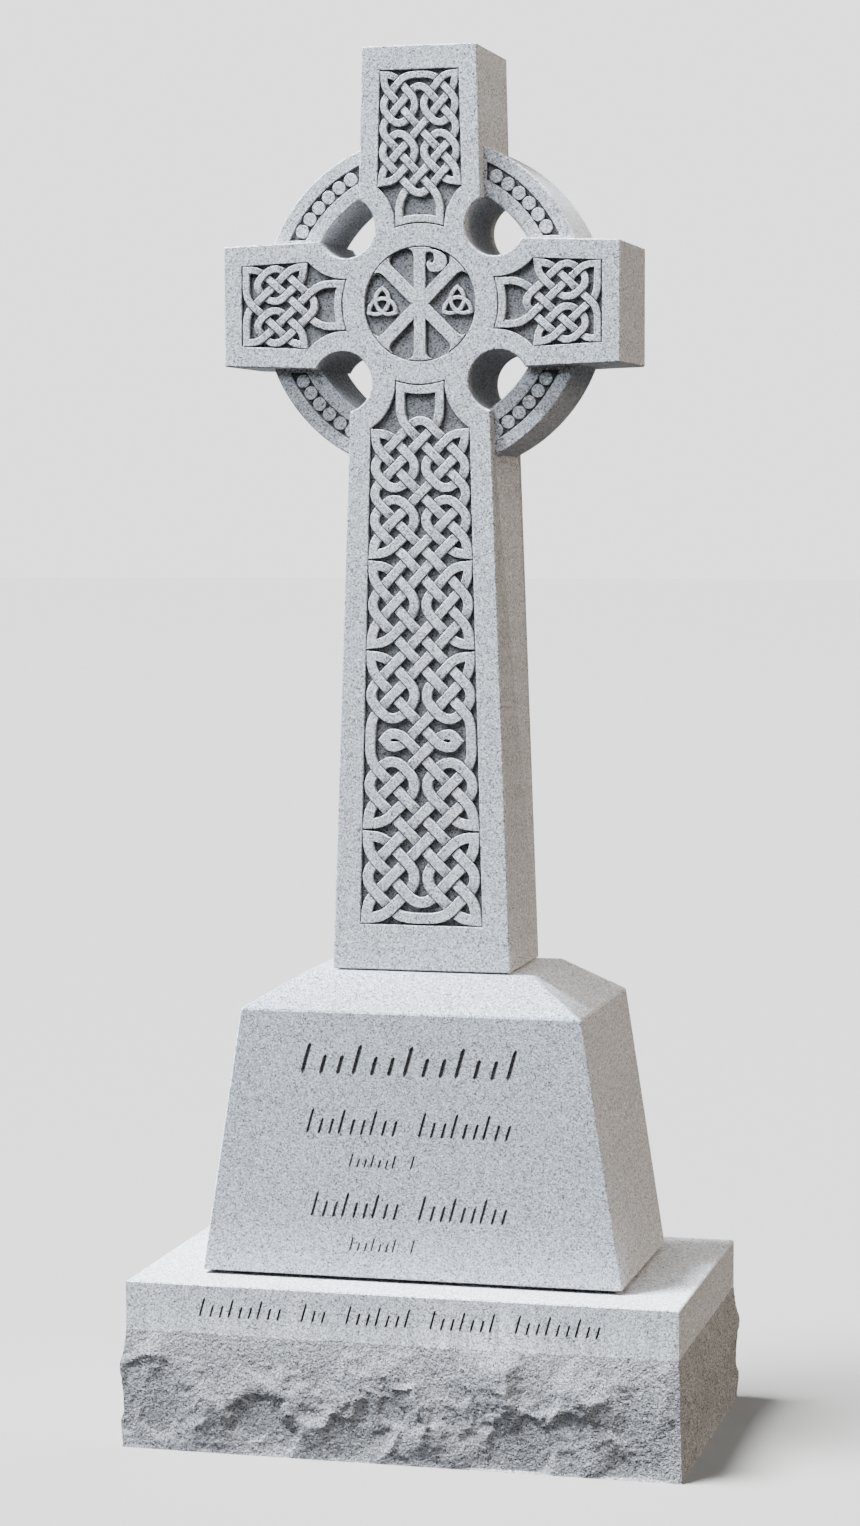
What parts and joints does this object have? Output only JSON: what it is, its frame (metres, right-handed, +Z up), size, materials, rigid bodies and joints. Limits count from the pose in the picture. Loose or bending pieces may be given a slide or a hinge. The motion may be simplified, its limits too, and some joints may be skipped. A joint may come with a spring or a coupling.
{
  "type": "cross headstone",
  "caption": "Ringed stone cross with a round medallion and knotwork panels, set on a battered plinth and a rock-faced base.",
  "frame": {"origin": "middle of the base stone's underside", "axes": "+Z up along the shaft, -Y out of the carved front, +X to the right seen from the front"},
  "size_m": [0.8946, 0.545, 2.1466],
  "materials": {
    "pitched_granite": "rock-pitched light grey granite with a sawn band along its top",
    "dressed_granite": "fine-axed light grey granite, matt"
  },
  "bodies": {
    "root": {"base": "pitched_granite", "plinth": "dressed_granite", "cross": "dressed_granite"}
  },
  "joints": []
}
